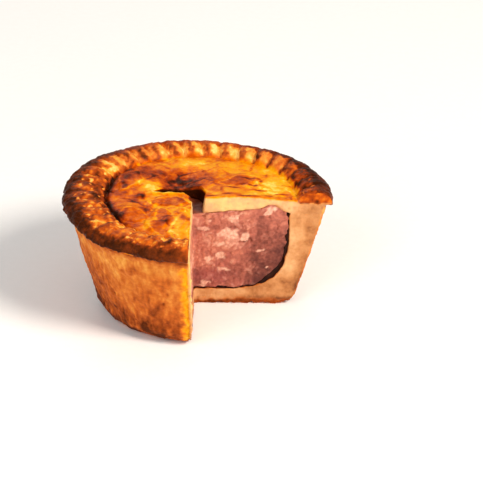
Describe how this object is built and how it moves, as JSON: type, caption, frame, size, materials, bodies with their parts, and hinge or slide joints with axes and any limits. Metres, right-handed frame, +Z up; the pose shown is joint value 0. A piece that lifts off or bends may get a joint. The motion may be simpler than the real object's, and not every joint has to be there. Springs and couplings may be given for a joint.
{
  "type": "pork pie",
  "caption": "Raised pork pie with a crimped rim and a steam hole, one quarter cut out so that the meat, the jelly and the thick crust show.",
  "frame": {"origin": "on the surface the pie stands on, under the centre of the box round the cut pie", "axes": "+Z up through the lid; the cut-out quarter is at +X, -Y, with one cut face looking towards +X and the other towards -Y"},
  "size_m": [0.1042, 0.1034, 0.0487],
  "materials": {
    "crust": "baked hot water crust, dry and slightly rough, cream where it is cut",
    "glazed_crust": "egg-washed crust, glossy gold to dark brown, cream where it is cut",
    "pork": "coarse cooked pork with pale fat, slightly moist",
    "jelly": "set savoury jelly, dark and wet"
  },
  "bodies": {
    "root": {"case": "crust", "lid": "glazed_crust", "filling": "pork", "jelly": "jelly"}
  },
  "joints": []
}
